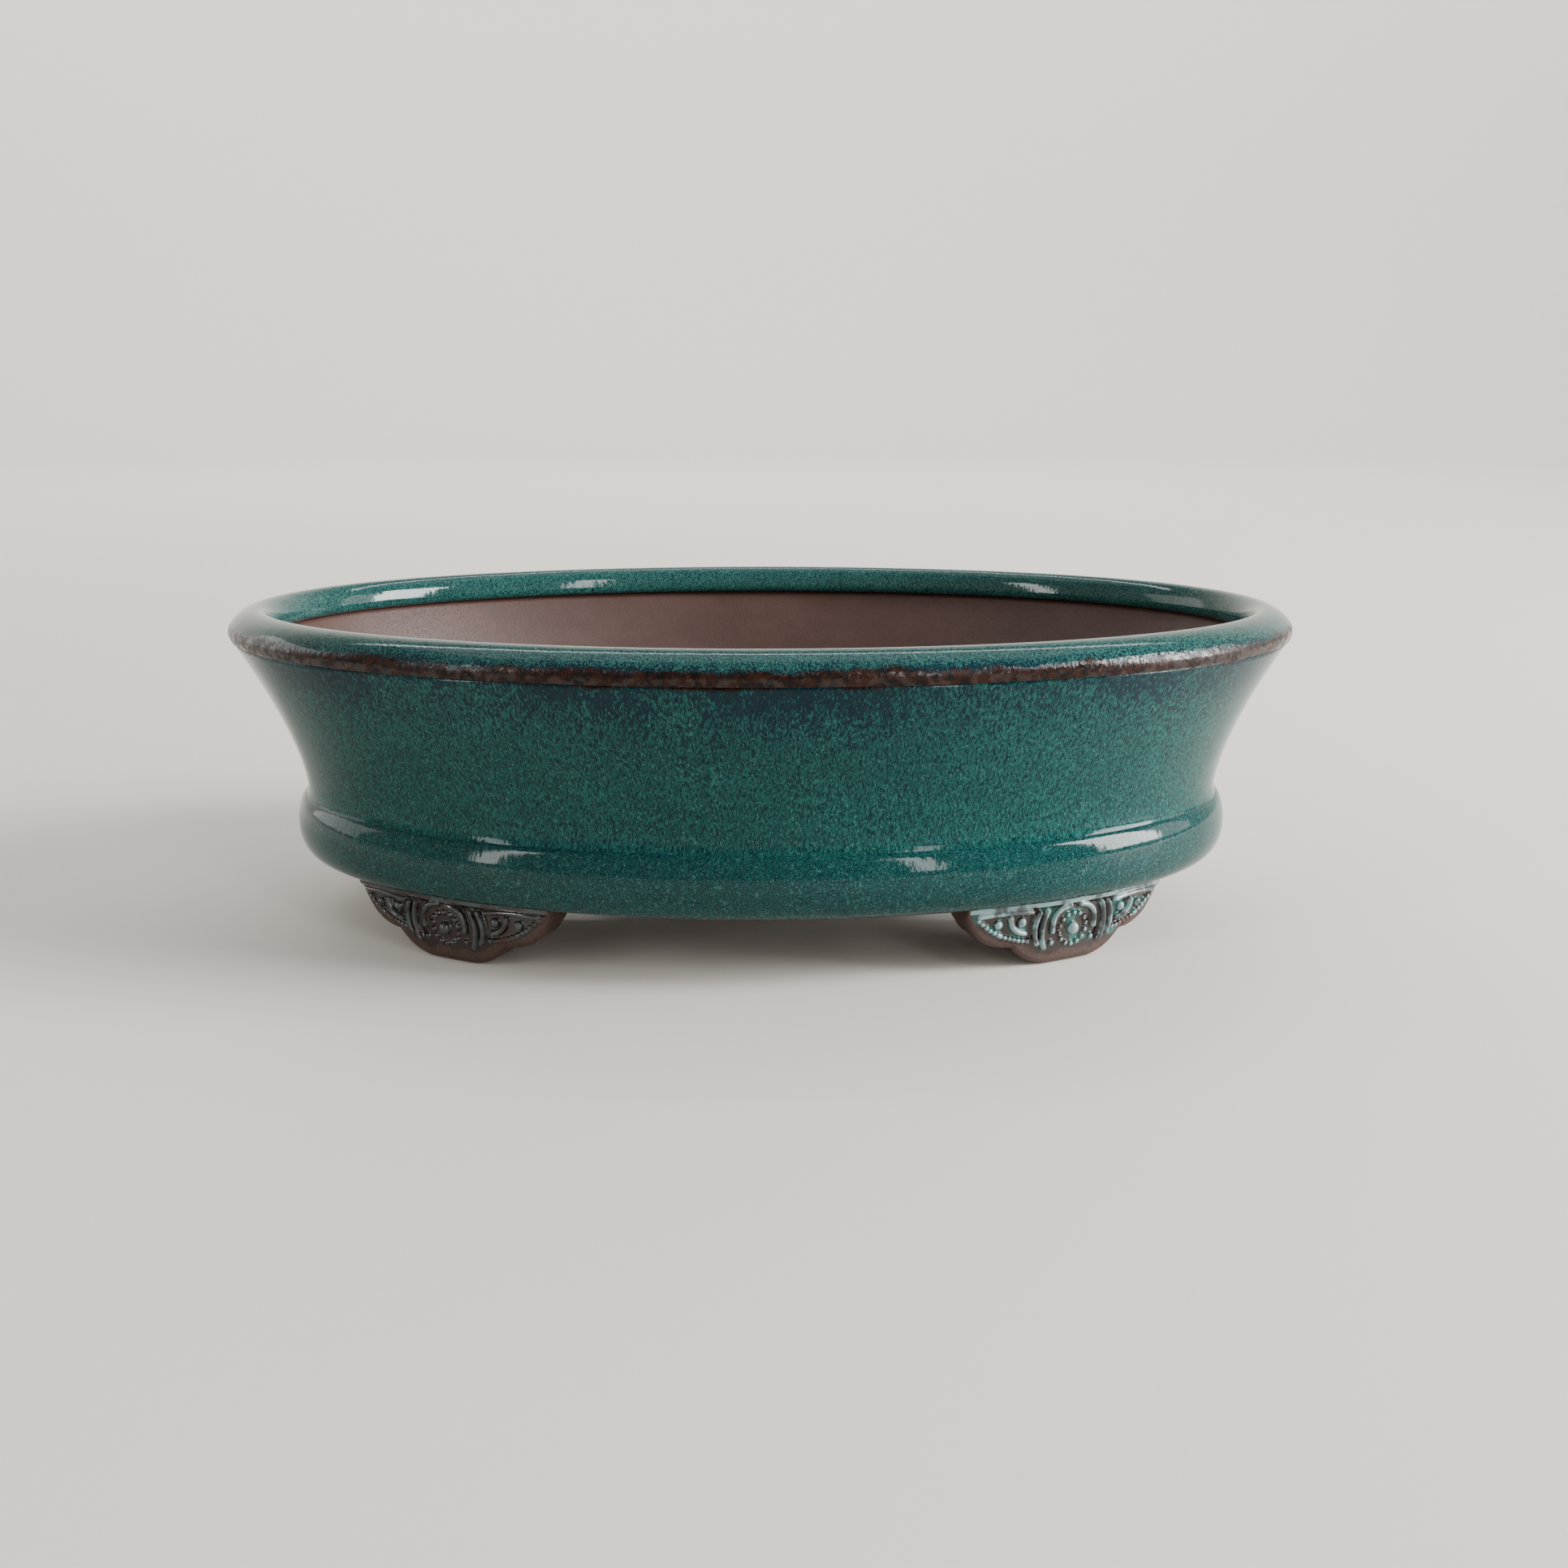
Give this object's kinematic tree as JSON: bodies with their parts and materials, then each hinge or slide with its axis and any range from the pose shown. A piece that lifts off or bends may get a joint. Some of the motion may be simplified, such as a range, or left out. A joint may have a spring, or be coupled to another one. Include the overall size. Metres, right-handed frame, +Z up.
{
  "type": "bonsai pot",
  "caption": "Oval bonsai pot with a flared wall, rolled lip, half-round foot belt and cloud feet with beaded relief, in speckled teal glaze over brown clay.",
  "frame": {"origin": "on the surface the pot stands on, under the middle of the oval", "axes": "+X along the pot's length, +Y from the front to the back, +Z up"},
  "size_m": [0.164, 0.112, 0.0484],
  "materials": {
    "teal_glaze": "gloss",
    "lip_glaze": "gloss",
    "raw_clay": "matte",
    "foot_clay": "satin",
    "relief_glaze": "gloss"
  },
  "bodies": {
    "root": {"floor_slab": "raw_clay", "body_wall": "teal_glaze", "rim_lip": "lip_glaze", "belt_band": "teal_glaze", "foot_front_left": "foot_clay", "foot_relief_front_left": "relief_glaze", "foot_front_right": "foot_clay", "foot_relief_front_right": "relief_glaze", "foot_back_left": "foot_clay", "foot_relief_back_left": "relief_glaze", "foot_back_right": "foot_clay", "foot_relief_back_right": "relief_glaze"}
  },
  "joints": []
}
